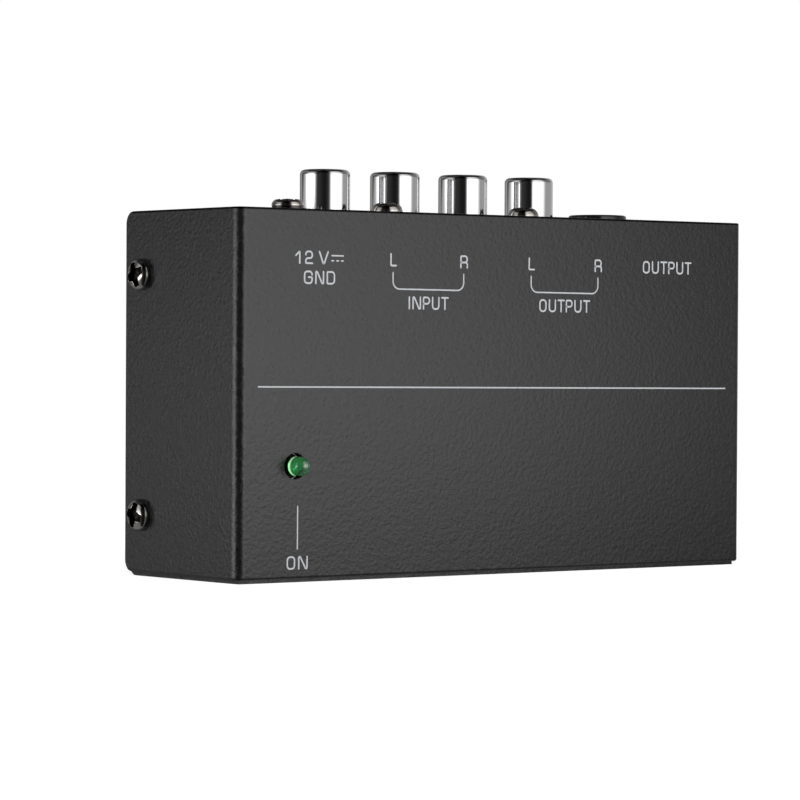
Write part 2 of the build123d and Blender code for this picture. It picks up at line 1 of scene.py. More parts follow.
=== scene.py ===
"""Phono preamp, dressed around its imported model: powder coat, print, plated jacks and screws, and the power light.

Lengths in each section are millimetres, turned into metres with mm. The case stands on its underside with the
connector panel up, the printed front towards -Y and its left end towards -X.
"""
import math

import bmesh
import bpy
import numpy as np
from mathutils import Matrix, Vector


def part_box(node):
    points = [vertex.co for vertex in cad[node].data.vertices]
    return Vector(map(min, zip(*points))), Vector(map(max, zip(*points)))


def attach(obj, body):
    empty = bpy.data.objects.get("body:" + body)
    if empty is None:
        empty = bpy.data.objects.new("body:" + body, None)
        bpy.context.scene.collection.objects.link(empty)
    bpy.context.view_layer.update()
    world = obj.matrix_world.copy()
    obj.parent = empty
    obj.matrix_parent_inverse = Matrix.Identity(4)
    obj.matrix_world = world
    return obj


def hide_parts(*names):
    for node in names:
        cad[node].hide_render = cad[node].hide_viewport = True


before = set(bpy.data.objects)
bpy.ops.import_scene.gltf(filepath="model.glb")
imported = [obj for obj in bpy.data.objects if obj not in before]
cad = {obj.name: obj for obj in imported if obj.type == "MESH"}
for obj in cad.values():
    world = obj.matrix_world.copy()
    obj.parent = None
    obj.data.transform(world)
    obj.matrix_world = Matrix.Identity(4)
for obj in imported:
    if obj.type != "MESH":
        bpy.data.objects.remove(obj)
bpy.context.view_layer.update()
mm = 0.001

# ---- Camera ----
# Long lens, a little above the middle of the case, looking at its left front corner from 0.6 m away.
view_turn, view_tilt, view_roll = -37.7608, 0.7408, 0.3038  # degrees
view_place = (-0.3783951, -0.4770452, 0.035298)  # metres


def add_object(name, data):
    """Puts a new object with this data into the scene."""
    thing = bpy.data.objects.new(name, data)
    bpy.context.scene.collection.objects.link(thing)
    return thing


camera_data = bpy.data.cameras.new("camera")
camera_data.lens = 169.186
camera_data.sensor_width = 36.0
camera_data.clip_start = 0.01
camera = add_object("camera", camera_data)
camera.matrix_world = (
    Matrix.Translation(view_place)
    @ Matrix.Rotation(math.radians(view_turn), 4, "Z")
    @ Matrix.Rotation(math.radians(90.0 - view_tilt), 4, "X")
    @ Matrix.Rotation(math.radians(view_roll), 4, "Z")
)
bpy.context.scene.camera = camera
bpy.context.scene.view_settings.view_transform = "Standard"

# ---- Studio: world, soft boxes, lamp and floor ----
# A pale room with two soft boxes: one close by on the right, one farther off on the left, and darkness between them.
# Shiny surfaces mirror each box as a panel whose light falls off along it; matt ones are lit by a lamp in its place.
studio_turn = 128.4  # from the direction of the camera to +X, degrees
# (degrees to the right of the camera as the case sees it, radiance)
room_strips = [
    (-180, 0.20), (-154, 0.22), (-138, 0.30), (-120, 0.50), (-95, 0.45), (-60, 0.40), (-44, 0.12), (-34, 0.045),
    (-22, 0.03), (-6, 0.012), (6, 0.012), (14, 0.03), (22, 0.12), (45, 0.40), (100, 0.36), (150, 0.50), (180, 0.80),
]
# (height of a direction as the sine of its elevation, share of the strip's radiance)
room_levels = [(-1.0, 0.50), (-0.10, 0.62), (0.0, 1.0), (0.32, 0.80), (0.60, 0.35), (0.74, 0.06), (1.0, 0.10)]
# name, middle (x, y), direction it faces in degrees from +X, brightest radiance,
# shares of it along the panel and up it as (place in mm, share)
panels = [
    ("left_panel", (-415, 157), 172.0, 4.6,
     [(-1000, 0.055), (-746, 0.083), (-490, 0.11), (-340, 0.143), (-300, 0.163), (-238, 0.222), (-152, 0.43),
      (-91, 0.72), (0, 0.97), (90, 1.0), (150, 0.84), (190, 0.52), (212, 0.30), (242, 0.11), (285, 0.02),
      (340, 0.01)],
     [(-100, 0.08), (-50, 0.16), (-30, 0.40), (-22, 0.63), (-6, 0.94), (34, 0.96), (46, 0.42), (54, 0.06), (73, 0.06),
      (76, 0.70), (91, 0.70), (100, 0.14), (420, 0.12)]),
    ("right_panel", (99.5, -154), 286.0, 2.6,
     [(-205, 0.02), (-185, 0.10), (-166, 0.50), (-145, 0.85), (-110, 1.0), (-80, 0.92), (-45, 0.75), (-25, 0.75),
      (0, 0.72), (20, 0.57), (42, 0.385), (62, 0.215), (85, 0.17), (115, 0.17), (260, 0.18), (450, 0.14)],
     [(-60, 0.20), (-20, 0.32), (-7, 0.58), (6, 0.86), (20, 0.86), (30, 0.96), (43, 1.05), (50, 0.83), (56, 0.46),
      (60, 0.33), (61.5, 0.33), (63.5, 0.82), (92, 0.82), (110, 0.45), (300, 0.30)]),
]
# (name, direction seen from the case in degrees from +X, distance, width and height in metres, radiance)
soft_boxes = [("left_box", 165.2, 0.80, 0.81, 0.68, 2.8), ("right_box", 281.7, 0.36, 0.375, 0.34, 2.1)]
fill_level = 0.34  # the room's radiance on matt surfaces
lamp_level = 1.0
lamp_spread = 50.0  # degrees, as are its turns
lamp_turn = (52.0, 0.0, -30.0)
white = (1.0, 1.0, 1.0, 1.0)
floor_colour = (0.82, 0.82, 0.82, 1.0)
floor_lift = 0.56  # light that the camera alone sees the floor give off, so that it ends in the white background
floor_half = 4.0  # metres


def new_node(tree, kind, settings=(), values=()):
    """Adds one node to a tree and sets its properties and its unlinked inputs."""
    node = tree.nodes.new(kind)
    for name, value in dict(settings).items():
        setattr(node, name, value)
    for name, value in dict(values).items():
        node.inputs[name].default_value = value
    return node


def link(tree, pairs):
    """Joins the output to the input of each pair."""
    for source, target in pairs:
        tree.links.new(source, target)


def new_material(name):
    """Material with an empty node tree. Returns both."""
    material = bpy.data.materials.new(name)
    material.use_nodes = True
    material.node_tree.nodes.clear()
    return material, material.node_tree


def one_face(name, corners):
    """Object of one four-sided face through four corners in metres."""
    mesh = bpy.data.meshes.new(name)
    mesh.from_pydata(corners, [], [(0, 1, 2, 3)])
    return add_object(name, mesh)


def new_ramp(tree, stops):
    """Ramp of greys over (place, level) stops. Returns the input, in the stops' own units, and the grey output."""
    first, last = stops[0][0], stops[-1][0]
    scale = new_node(tree, "ShaderNodeMapRange", values={"From Min": first, "From Max": last})
    ramp = new_node(tree, "ShaderNodeValToRGB")
    while len(ramp.color_ramp.elements) < len(stops):
        ramp.color_ramp.elements.new(0.5)
    for element, (place, level) in zip(ramp.color_ramp.elements, stops):
        element.position = (place - first) / (last - first)
        element.color = (level, level, level, 1.0)
    tree.links.new(scale.outputs["Result"], ramp.inputs["Fac"])
    return scale.inputs["Value"], ramp.outputs["Color"]


world = bpy.data.worlds.new("studio")
world.use_nodes = True
world.cycles.sampling_method = "NONE"
bpy.context.scene.world = world
tree = world.node_tree
tree.nodes.clear()
direction = new_node(tree, "ShaderNodeTexCoord")
turned = new_node(tree, "ShaderNodeMapping", values={"Rotation": (0.0, 0.0, math.radians(studio_turn))})
round_room = new_node(tree, "ShaderNodeTexGradient", {"gradient_type": "RADIAL"})
strip_place, strip_level = new_ramp(tree, [(0.5 + angle / 360.0, level) for angle, level in room_strips])
height = new_node(tree, "ShaderNodeSeparateXYZ")
height_place, height_share = new_ramp(tree, room_levels)
mirrored = new_node(tree, "ShaderNodeBackground")
fill = new_node(tree, "ShaderNodeBackground", values={"Color": white, "Strength": fill_level})
backdrop = new_node(tree, "ShaderNodeBackground", values={"Color": white, "Strength": 1.0})
rays = new_node(tree, "ShaderNodeLightPath")
sharp_ray = new_node(tree, "ShaderNodeMath", {"operation": "MAXIMUM"})
for_shine = new_node(tree, "ShaderNodeMixShader")
for_camera = new_node(tree, "ShaderNodeMixShader")
world_out = new_node(tree, "ShaderNodeOutputWorld")
link(tree, [
    (direction.outputs["Generated"], turned.inputs["Vector"]),
    (turned.outputs["Vector"], round_room.inputs["Vector"]),
    (round_room.outputs["Fac"], strip_place),
    (strip_level, mirrored.inputs["Color"]),
    (direction.outputs["Generated"], height.inputs["Vector"]),
    (height.outputs["Z"], height_place),
    (height_share, mirrored.inputs["Strength"]),
    (rays.outputs["Is Glossy Ray"], sharp_ray.inputs[0]),
    (rays.outputs["Is Transmission Ray"], sharp_ray.inputs[1]),
    (sharp_ray.outputs["Value"], for_shine.inputs["Fac"]),
    (fill.outputs["Background"], for_shine.inputs[1]),
    (mirrored.outputs["Background"], for_shine.inputs[2]),
    (rays.outputs["Is Camera Ray"], for_camera.inputs["Fac"]),
    (for_shine.outputs["Shader"], for_camera.inputs[1]),
    (backdrop.outputs["Background"], for_camera.inputs[2]),
    (for_camera.outputs["Shader"], world_out.inputs["Surface"]),
])

for name, middle, faces, radiance, along, upward in panels:
    corners = [(along[0][0], upward[0][0]), (along[-1][0], upward[0][0]), (along[-1][0], upward[-1][0]),
               (along[0][0], upward[-1][0])]
    panel = one_face(name, [(x * mm, 0.0, z * mm) for x, z in corners])
    panel.location = (middle[0] * mm, middle[1] * mm, 0.0)
    panel.rotation_euler = (0.0, 0.0, math.radians(faces + 90.0))
    panel.visible_camera = panel.visible_diffuse = panel.visible_shadow = False
    cloth, tree = new_material(name)
    place = new_node(tree, "ShaderNodeTexCoord")
    in_mm = new_node(tree, "ShaderNodeVectorMath", {"operation": "SCALE"}, {"Scale": 1.0 / mm})
    parts = new_node(tree, "ShaderNodeSeparateXYZ")
    along_place, along_share = new_ramp(tree, along)
    upward_place, upward_share = new_ramp(tree, upward)
    full = new_node(tree, "ShaderNodeMath", {"operation": "MULTIPLY"})
    full.inputs[1].default_value = radiance
    glow = new_node(tree, "ShaderNodeEmission")
    out = new_node(tree, "ShaderNodeOutputMaterial")
    link(tree, [
        (place.outputs["Object"], in_mm.inputs[0]),
        (in_mm.outputs["Vector"], parts.inputs["Vector"]),
        (parts.outputs["X"], along_place),
        (parts.outputs["Z"], upward_place),
        (along_share, glow.inputs["Color"]),
        (upward_share, full.inputs[0]),
        (full.outputs["Value"], glow.inputs["Strength"]),
        (glow.outputs["Emission"], out.inputs["Surface"]),
    ])
    panel.data.materials.append(cloth)

for name, side, distance, box_width, box_height, radiance in soft_boxes:
    box_data = bpy.data.lights.new(name, "AREA")
    box_data.shape = "RECTANGLE"
    box_data.size, box_data.size_y = box_width, box_height
    box_data.energy = radiance * math.pi * box_width * box_height
    soft_box = add_object(name, box_data)
    side = math.radians(side)
    soft_box.location = (distance * math.cos(side), distance * math.sin(side), box_height / 2)
    soft_box.rotation_euler = (math.pi / 2, 0.0, side + math.pi / 2)
    soft_box.visible_camera = soft_box.visible_glossy = soft_box.visible_transmission = False

lamp_data = bpy.data.lights.new("soft_lamp", "SUN")
lamp_data.energy = lamp_level
lamp_data.angle = math.radians(lamp_spread)
lamp = add_object("soft_lamp", lamp_data)
lamp.rotation_euler = [math.radians(turn) for turn in lamp_turn]
lamp.visible_glossy = False

floor = one_face("floor", [(-floor_half, -floor_half, 0.0), (floor_half, -floor_half, 0.0),
                           (floor_half, floor_half, 0.0), (-floor_half, floor_half, 0.0)])
floor.visible_glossy = False
floor_paint, tree = new_material("floor_paint")
matt = new_node(tree, "ShaderNodeBsdfDiffuse", values={"Color": floor_colour})
glow = new_node(tree, "ShaderNodeEmission")
rays = new_node(tree, "ShaderNodeLightPath")
only_seen = new_node(tree, "ShaderNodeMath", {"operation": "MULTIPLY"})
only_seen.inputs[1].default_value = floor_lift
both = new_node(tree, "ShaderNodeAddShader")
paint_out = new_node(tree, "ShaderNodeOutputMaterial")
link(tree, [
    (rays.outputs["Is Camera Ray"], only_seen.inputs[0]),
    (only_seen.outputs["Value"], glow.inputs["Strength"]),
    (matt.outputs["BSDF"], both.inputs[0]),
    (glow.outputs["Emission"], both.inputs[1]),
    (both.outputs["Shader"], paint_out.inputs["Surface"]),
])
floor.data.materials.append(floor_paint)

# ---- Folded case: cover and tray ----
# Two pieces of 0.8 mm steel sheet, punched and folded, then sprayed with charcoal powder and baked. The melted powder
# leaves a fine orange peel over faces, bends and hole edges alike.
coat_colour = (0.0068, 0.0069, 0.0074)
coat_roughness = 0.22
coat_peel = 0.60  # width of one dimple of the orange peel
coat_dimple = 0.09
coat_shade, coat_gloss_swing = 0.60, 0.16
coat_shine = 0.56
edge_shade_start, edge_shade_full = 0.42, 0.28  # below the top edge: where the painted shade starts, and where it is full
edge_shade_metallic = 0.97  # Metallic there, making the dark coat nearly black: painted shade along the edge
octave, octave_share = 5.0, 0.25  # how much finer the grain's second octave is, and its share of the height


def make_grain():
    """Node group: fine noise on object coordinates. Size is the width of a speck in metres; Shade runs from -1 to 1
    round zero for colour and gloss, and Height from 0 to 1 for a bump, with a second, finer octave."""
    group = bpy.data.node_groups.new("surface_grain", "ShaderNodeTree")
    group.interface.new_socket("Size", in_out="INPUT", socket_type="NodeSocketFloat")
    group.interface.new_socket("Shade", in_out="OUTPUT", socket_type="NodeSocketFloat")
    group.interface.new_socket("Height", in_out="OUTPUT", socket_type="NodeSocketFloat")
    inside = group.nodes.new("NodeGroupInput")
    outside = group.nodes.new("NodeGroupOutput")
    place = new_node(group, "ShaderNodeTexCoord")
    frequency = new_node(group, "ShaderNodeMath", {"operation": "DIVIDE"})
    frequency.inputs[0].default_value = 1.0
    finer = new_node(group, "ShaderNodeMath", {"operation": "MULTIPLY"})
    finer.inputs[1].default_value = octave
    coarse = new_node(group, "ShaderNodeTexNoise", values={"Detail": 2.0, "Roughness": 0.5})
    fine = new_node(group, "ShaderNodeTexNoise", values={"Detail": 1.0, "Roughness": 0.5})
    centred = new_node(group, "ShaderNodeMapRange", values={"To Min": -1.0, "To Max": 1.0})
    mixed = new_node(group, "ShaderNodeMix", {"data_type": "FLOAT"}, {"Factor": octave_share})
    link(group, [
        (inside.outputs["Size"], frequency.inputs[1]),
        (place.outputs["Object"], coarse.inputs["Vector"]),
        (place.outputs["Object"], fine.inputs["Vector"]),
        (frequency.outputs["Value"], coarse.inputs["Scale"]),
        (frequency.outputs["Value"], finer.inputs[0]),
        (finer.outputs["Value"], fine.inputs["Scale"]),
        (coarse.outputs["Fac"], centred.inputs["Value"]),
        (centred.outputs["Result"], outside.inputs["Shade"]),
        (coarse.outputs["Fac"], mixed.inputs["A"]),
        (fine.outputs["Fac"], mixed.inputs["B"]),
        (mixed.outputs["Result"], outside.inputs["Height"]),
    ])
    return group


grain = make_grain()


def make_finish(name, colour, roughness, size, dimple, shade=0.1, gloss_swing=0.03, **sockets):
    """Material of one finish: its colour darkens and lightens by shade and its roughness by gloss_swing, and its
    surface rises by dimple millimetres, all over specks of size millimetres. Other sockets are set by name."""
    material, tree = new_material(name)
    shader = new_node(tree, "ShaderNodeBsdfPrincipled", values=sockets)
    specks = new_node(tree, "ShaderNodeGroup", {"node_tree": grain}, {"Size": size * mm})
    tint = new_node(tree, "ShaderNodeMapRange", values={
        "From Min": -1.0, "From Max": 1.0, "To Min": 1.0 - shade, "To Max": 1.0 + shade})
    gloss = new_node(tree, "ShaderNodeMapRange", values={
        "From Min": -1.0, "From Max": 1.0, "To Min": roughness - gloss_swing, "To Max": roughness + gloss_swing})
    paint = new_node(tree, "ShaderNodeVectorMath", {"operation": "SCALE"})
    paint.inputs[0].default_value = colour
    relief = new_node(tree, "ShaderNodeBump", values={"Strength": 1.0, "Distance": dimple * mm})
    out = new_node(tree, "ShaderNodeOutputMaterial")
    link(tree, [
        (specks.outputs["Shade"], tint.inputs["Value"]),
        (specks.outputs["Shade"], gloss.inputs["Value"]),
        (tint.outputs["Result"], paint.inputs["Scale"]),
        (paint.outputs["Vector"], shader.inputs["Base Color"]),
        (gloss.outputs["Result"], shader.inputs["Roughness"]),
        (specks.outputs["Height"], relief.inputs["Height"]),
        (relief.outputs["Normal"], shader.inputs["Normal"]),
        (shader.outputs["BSDF"], out.inputs["Surface"]),
    ])
    return material


def dress(material, *names):
    """Gives CAD nodes their finish: every material slot of each named node takes the material."""
    for name in names:
        for place in cad[name].material_slots:
            place.material = material


def make_coat(name):
    """Powder coat: the ordinary finish in charcoal, a little shinier than plain plastic."""
    return make_finish(name, coat_colour, coat_roughness, coat_peel, coat_dimple, coat_shade, coat_gloss_swing,
                       **{"Specular IOR Level": coat_shine})


dress(make_coat("powder_coat"), "tray")
# The cover's coat has a thin band of painted shade just below its top edge, nearly black, for the dark line there.
cover_coat = make_coat("cover_coat")
tree = cover_coat.node_tree
place = new_node(tree, "ShaderNodeTexCoord")
level = new_node(tree, "ShaderNodeSeparateXYZ")
cover_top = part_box("cover")[1][2]
# Painted shade: Metallic rises towards 1 in the band below the top edge, which turns the coat nearly black.
painted_edge_shade = new_node(tree, "ShaderNodeMapRange", {"interpolation_type": "SMOOTHSTEP"}, {
    "From Min": cover_top - edge_shade_start * mm, "From Max": cover_top - edge_shade_full * mm, "To Max": edge_shade_metallic})
link(tree, [
    (place.outputs["Object"], level.inputs["Vector"]),
    (level.outputs["Z"], painted_edge_shade.inputs["Value"]),
    (painted_edge_shade.outputs["Result"], tree.nodes["Principled BSDF"].inputs["Metallic"]),
])
dress(cover_coat, "cover")

# ---- Print on the front ----
# Light grey ink, screen printed on the coat and a few hundredths of a millimetre thick: plain function words, a
# bracket under each pair of jacks, one long rule and the line down to ON. The screen lay a quarter of a degree askew.
ink_colour = (0.46, 0.47, 0.49)
letter_line, rule_line = 0.30, 0.25  # widths of the lines
ink_height, ink_sunk, ink_edge = 0.02, 0.01, 0.03  # above and below the cover's face, and width of the sloping side
ink_overlap = 0.004  # how much higher the second line of a letter lies where it crosses the first
letter_height = 1.79  # between the middles of the top and bottom lines
letter_space = 0.73
print_skew = math.tan(math.radians(0.25))
print_middle = (51.5, 29.6)  # the point the screen is turned about
corner_steps, cap_steps = 8, 5
weld = 1e-7  # metres within which two points are one
top = letter_height
small = letter_line / 2
letters = {  # width, closed, and lines as corners (x, z, radius), all between the middles of the lines
    "I": (0.0, False, [[(0, 0, 0), (0, top, 0)]]),
    "L": (1.02, False, [[(0, top, 0), (0, 0, small), (1.02, 0, 0)]]),
    "T": (1.20, False, [[(0, top, 0), (1.20, top, 0)], [(0.60, top, 0), (0.60, 0, 0)]]),
    "U": (1.25, False, [[(0, top, 0), (0, 0, 0.52), (1.25, 0, 0.52), (1.25, top, 0)]]),
    "O": (1.24, True, [[(0, 0, 0.52), (1.24, 0, 0.52), (1.24, top, 0.52), (0, top, 0.52)]]),
    "D": (1.36, True, [[(0, 0, small), (1.36, 0, 0.52), (1.36, top, 0.52), (0, top, small)]]),
    "N": (1.44, False, [[(0, 0, 0), (0, top, small), (0.25, top, small), (1.19, 0, small), (1.44, 0, small),
                         (1.44, top, 0)]]),
    "P": (1.17, False, [[(0, 0, 0), (0, top, small), (1.17, top, 0.47), (1.17, 0.80, 0.47), (0, 0.80, 0)]]),
    "R": (1.30, False, [[(0, 0, 0), (0, top, small), (1.25, top, 0.47), (1.25, 0.80, 0.44), (0, 0.80, 0)],
                        [(0.60, 0.80, 0), (1.30, 0.80, 0.40), (1.30, 0, 0)]]),
    "G": (1.41, False, [[(1.41, 1.32, 0), (1.41, top, 0.46), (0, top, 0.50), (0, 0, 0.50), (1.41, 0, 0.50),
                         (1.41, 0.92, small), (0.78, 0.92, 0)]]),
    "V": (1.62, False, [[(0, top, 0), (0.72, 0, small), (0.90, 0, small), (1.62, top, 0)]]),
    "1": (0.72, False, [[(0, top - 0.64, 0), (0.70, top, 0.05), (0.72, 0, 0)]]),
    "2": (1.23, False, [[(0, 1.30, 0), (0, top, 0.48), (1.23, top, 0.54), (1.23, 0.77, 0.46), (0, 0.77, 0.44),
                         (0, 0, small), (1.25, 0, 0)]]),
}
tight_sides = {"T": 0.12, "P": 0.10}  # taken off the space beside a letter with an open side


def rounded_path(corners, closed):
    """Points along straight lines whose corners are arcs: each arc touches both lines at radius * tan(turn / 2)."""
    points = np.array([corner[:2] for corner in corners], float)
    radii = [corner[2] for corner in corners]
    path = []
    for index, radius in enumerate(radii):
        here = points[index]
        if radius == 0:
            path.append(here[None])
            continue
        back = points[index - 1] - here
        ahead = points[(index + 1) % len(points)] - here
        back, ahead = back / np.linalg.norm(back), ahead / np.linalg.norm(ahead)
        half_turn = (math.pi - math.acos(np.clip(back @ ahead, -1, 1))) / 2
        middle = here + (back + ahead) / np.linalg.norm(back + ahead) * radius / math.cos(half_turn)
        steps = np.linspace(-half_turn, half_turn, corner_steps)[:, None]
        inward = (here - middle) / np.linalg.norm(here - middle)
        along = (ahead - back) / np.linalg.norm(ahead - back)
        path.append(middle + radius * (inward * np.cos(steps) + along * np.sin(steps)))
    path = np.concatenate(path)
    return np.concatenate([path, path[:1]]) if closed else path


def ink_line(corners, closed, width, lift=0.0):
    """Low ridge of ink along a path: four corners across it, and half-round ends whose half width is the square root
    of (width / 2) squared less the distance from the path's end squared. Returns rows of x, height and z."""
    path = rounded_path(corners, closed)
    half = np.full(len(path), width / 2)
    heading = np.gradient(path, axis=0)
    if closed:
        heading[0] = heading[-1] = path[1] - path[-2]
    heading /= np.linalg.norm(heading, axis=1)[:, None]
    if not closed:
        turn = np.linspace(0, math.pi / 2, cap_steps, endpoint=False)
        out, wide = np.cos(turn) * width / 2, np.sin(turn) * width / 2
        first = path[0] - heading[0] * out[:, None]
        last = path[-1] + heading[-1] * out[::-1, None]
        path = np.concatenate([first, path, last])
        half = np.concatenate([wide, half, wide[::-1]])
        heading = np.concatenate([
            np.repeat(heading[:1], cap_steps, 0), heading, np.repeat(heading[-1:], cap_steps, 0)])
    side = np.stack([-heading[:, 1], heading[:, 0]], 1)
    inner = np.maximum(half - ink_edge, 0)
    rows = []
    crest = ink_height + lift
    for reach, level in ((half, -ink_sunk), (inner, crest), (-inner, crest), (-half, -ink_sunk)):
        place = path + side * reach[:, None]
        rows.append(np.stack([place[:, 0], np.full(len(place), level), place[:, 1]], 1))
    return np.stack(rows, 1)


def rule(*corners):
    """Thin open line of ink through corners (x, z, radius)."""
    return ink_line(corners, False, rule_line)


def word(text, middle, level, stretch=1.0):
    """Ink lines of a word whose box is centred on (middle, level)."""
    placed, x = [], 0.0
    for index, letter in enumerate(text):
        wide, closed, lines = letters[letter]
        x -= tight_sides.get(letter, 0.0) if index else 0.0
        for number, line in enumerate(lines):
            placed.append(([(x + a, b, r) for a, b, r in line], closed, number * ink_overlap))
        x += wide + letter_space - tight_sides.get(letter, 0.0)
    x += tight_sides.get(text[-1], 0.0) - letter_space
    shift = middle - x * stretch / 2
    return [ink_line([(shift + a * stretch, level - top / 2 + b, r) for a, b, r in line], closed, letter_line, lift)
            for line, closed, lift in placed]


def join_grids(name, grids, sharp=35.0, closed_rows=False, finishes=None):
    """Mesh object from surfaces given as rows of closed rings of points in millimetres. Neighbouring rings are joined
    by four-sided faces, rings of no size become one point, and edges sharper than the angle stay sharp. The finishes
    are the material slots of the grids, in turn."""
    points, faces, slots, first = [], [], [], 0
    for number, grid in enumerate(grids):
        rows, columns = grid.shape[:2]
        place = np.arange(rows * columns).reshape(rows, columns) + first
        after = np.roll(place, -1, 0) if closed_rows else place[1:]
        here = place if closed_rows else place[:-1]
        faces.append(np.stack([here, np.roll(here, -1, 1), np.roll(after, -1, 1), after], -1).reshape(-1, 4))
        points.append(grid.reshape(-1, 3))
        slots += [finishes[number % len(finishes)] if finishes else 0] * len(faces[-1])
        first += rows * columns
    mesh = bpy.data.meshes.new(name)
    mesh.from_pydata(np.concatenate(points) * mm, [], np.concatenate(faces).tolist())
    mesh.polygons.foreach_set("material_index", slots)
    shape = bmesh.new()
    shape.from_mesh(mesh)
    bmesh.ops.remove_doubles(shape, verts=shape.verts, dist=weld)
    bmesh.ops.dissolve_degenerate(shape, edges=shape.edges, dist=weld)
    bmesh.ops.recalc_face_normals(shape, faces=shape.faces)
    shape.to_mesh(mesh)
    shape.free()
    mesh.shade_smooth()
    mesh.set_sharp_from_angle(angle=math.radians(sharp))
    return add_object(name, mesh)


def finish_with(piece, *materials):
    """Fills a new piece's material slots, in the order that its finishes count them."""
    for material in materials:
        piece.data.materials.append(material)


cover_low = np.array(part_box("cover")[0]) / mm
top_row, second_row, word_row = 49.40, 46.35, 42.78
bracket_top, bracket_foot, bracket_round = 47.42, 44.88, 1.25
input_x, output_x, jack_space = 29.28, 57.12, 14.05  # left jack of each pair, and the right one from it
left_shift, right_shift = 0.08, 0.05  # how far to the right of its jack each letter lies
supply_letters = (("1", 10.97), ("2", 13.08), ("V", 15.87))
ground_x, stereo_x = 15.10, 86.16
volt_bar, bar_level = (17.44, 19.58), 49.76  # direct-current sign: a bar over three dashes
dash_middles, dash_half, dash_level = (17.57, 18.51, 19.42), 0.16, 48.98
light_x, light_line, light_word, light_stretch = 11.32, (4.97, 11.42), 2.84, 1.09
long_rule, long_level = (3.8, 99.25), 29.62
ink = []
for letter, x in supply_letters:
    ink += word(letter, x, top_row)
ink += word("GND", ground_x, second_row) + word("ON", light_x, light_word, light_stretch)
ink.append(rule((volt_bar[0], bar_level, 0), (volt_bar[1], bar_level, 0)))
for dash in dash_middles:
    ink.append(rule((dash - dash_half, dash_level, 0), (dash + dash_half, dash_level, 0)))
for name, left_jack in (("INPUT", input_x), ("OUTPUT", output_x)):
    right_jack = left_jack + jack_space
    ink.append(rule((left_jack, bracket_top, 0), (left_jack, bracket_foot, bracket_round),
                    (right_jack, bracket_foot, bracket_round), (right_jack, bracket_top, 0)))
    ink += word("L", left_jack + left_shift, top_row) + word("R", right_jack + right_shift, top_row)
    ink += word(name, (left_jack + right_jack) / 2 + right_shift, word_row)
ink += word("OUTPUT", stereo_x, top_row)
ink.append(rule((long_rule[0], long_level, 0), (long_rule[1], long_level, 0)))
ink.append(rule((light_x, light_line[0], 0), (light_x, light_line[1], 0)))
for line in ink:
    x, z = line[..., 0].copy(), line[..., 2].copy()
    line[..., 0] = cover_low[0] + x + print_skew * (z - print_middle[1])
    line[..., 1] = cover_low[1] - line[..., 1]
    line[..., 2] = z - print_skew * (x - print_middle[0])
lettering = join_grids("front_lettering", ink)
finish_with(lettering, make_finish("print_ink", ink_colour, 0.45, 0.15, 0.001, shade=0.04))
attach(lettering, "case")

# ---- Case screws ----
# Pan-head machine screws, M3, with a cross recess, nickel plated: two through each end of the cover into the collars
# of the tray's ears. The head's flank stands nearly upright and rounds over into a low crown, and the recess nearly
# reaches its edge. Inside the recess the nickel is painted nearly black for the shade that falls there, and is
# duller.
case_screw_length = 6.0
head_radius, head_height = 2.5, 1.75
flank_rise, crown_rise = 0.45, 0.15  # level of the flank's middle, and fall of the crown
foot_turn, shoulder_turn = -14.0, 40.0  # the flank's arc, degrees
flank_rings = 12
seat_break = 0.05
crown_shares = (0.2, 0.4, 0.6, 0.8, 0.94)  # of the way from the shoulder to the recess
rim_break = 0.012  # the recess's rim below the crown
recess_steps = ((0.975, 0.10), (0.94, 0.55), (0.88, 0.95))  # (share of the outline, depth below the crown)
floor_share, floor_depth, point_depth = 0.50, 1.15, 1.30  # the recess's floor, below the top of the head
cross_reach, cross_half_end, cross_half_root, cross_corner = 1.96, 0.56, 0.72, 0.34
thread_radius, thread_pitch, thread_depth = 1.5, 0.5, 0.26
thread_rings = 5  # rings in one pitch
thread_stop, neck_level = 0.3, 0.2  # below the seat: where the thread stops and the plain neck begins
point_break = 0.1
nickel = make_finish("nickel", (0.52, 0.49, 0.46), 0.06, 0.2, 0.0006, shade=0.04, gloss_swing=0.03, Metallic=1.0)
# Nickel painted nearly black for the shade inside the cross recess, and rougher for its duller plating.
recess_nickel_painted_shade = make_finish("recess_nickel_painted_shade", (0.025, 0.023, 0.021), 0.40, 0.15, 0.003, shade=0.15, Metallic=1.0)


def cross_outline():
    """Outline of the cross recess as points (x, y): half of one arm, from the middle of its end along its side and
    round the corner to the next arm, mirrored on the diagonal and turned four times, evenly spaced on each part."""
    end = np.stack([np.full(3, cross_reach), np.linspace(0, cross_half_end, 3)], 1)[:2]
    root = cross_half_root + cross_corner
    side = np.linspace((cross_reach, cross_half_end), (root, cross_half_root), 4)[:3]
    turn = np.radians(np.linspace(270, 225, 4))
    corner = np.stack([root + cross_corner * np.cos(turn), root + cross_corner * np.sin(turn)], 1)
    eighth = np.concatenate([end, side, corner])
    quarter = np.concatenate([eighth, eighth[-2:0:-1, ::-1]])
    turns = [np.linalg.matrix_power(np.array([[0, -1], [1, 0]]), number) for number in range(4)]
    return np.concatenate([quarter @ turn.T for turn in turns])


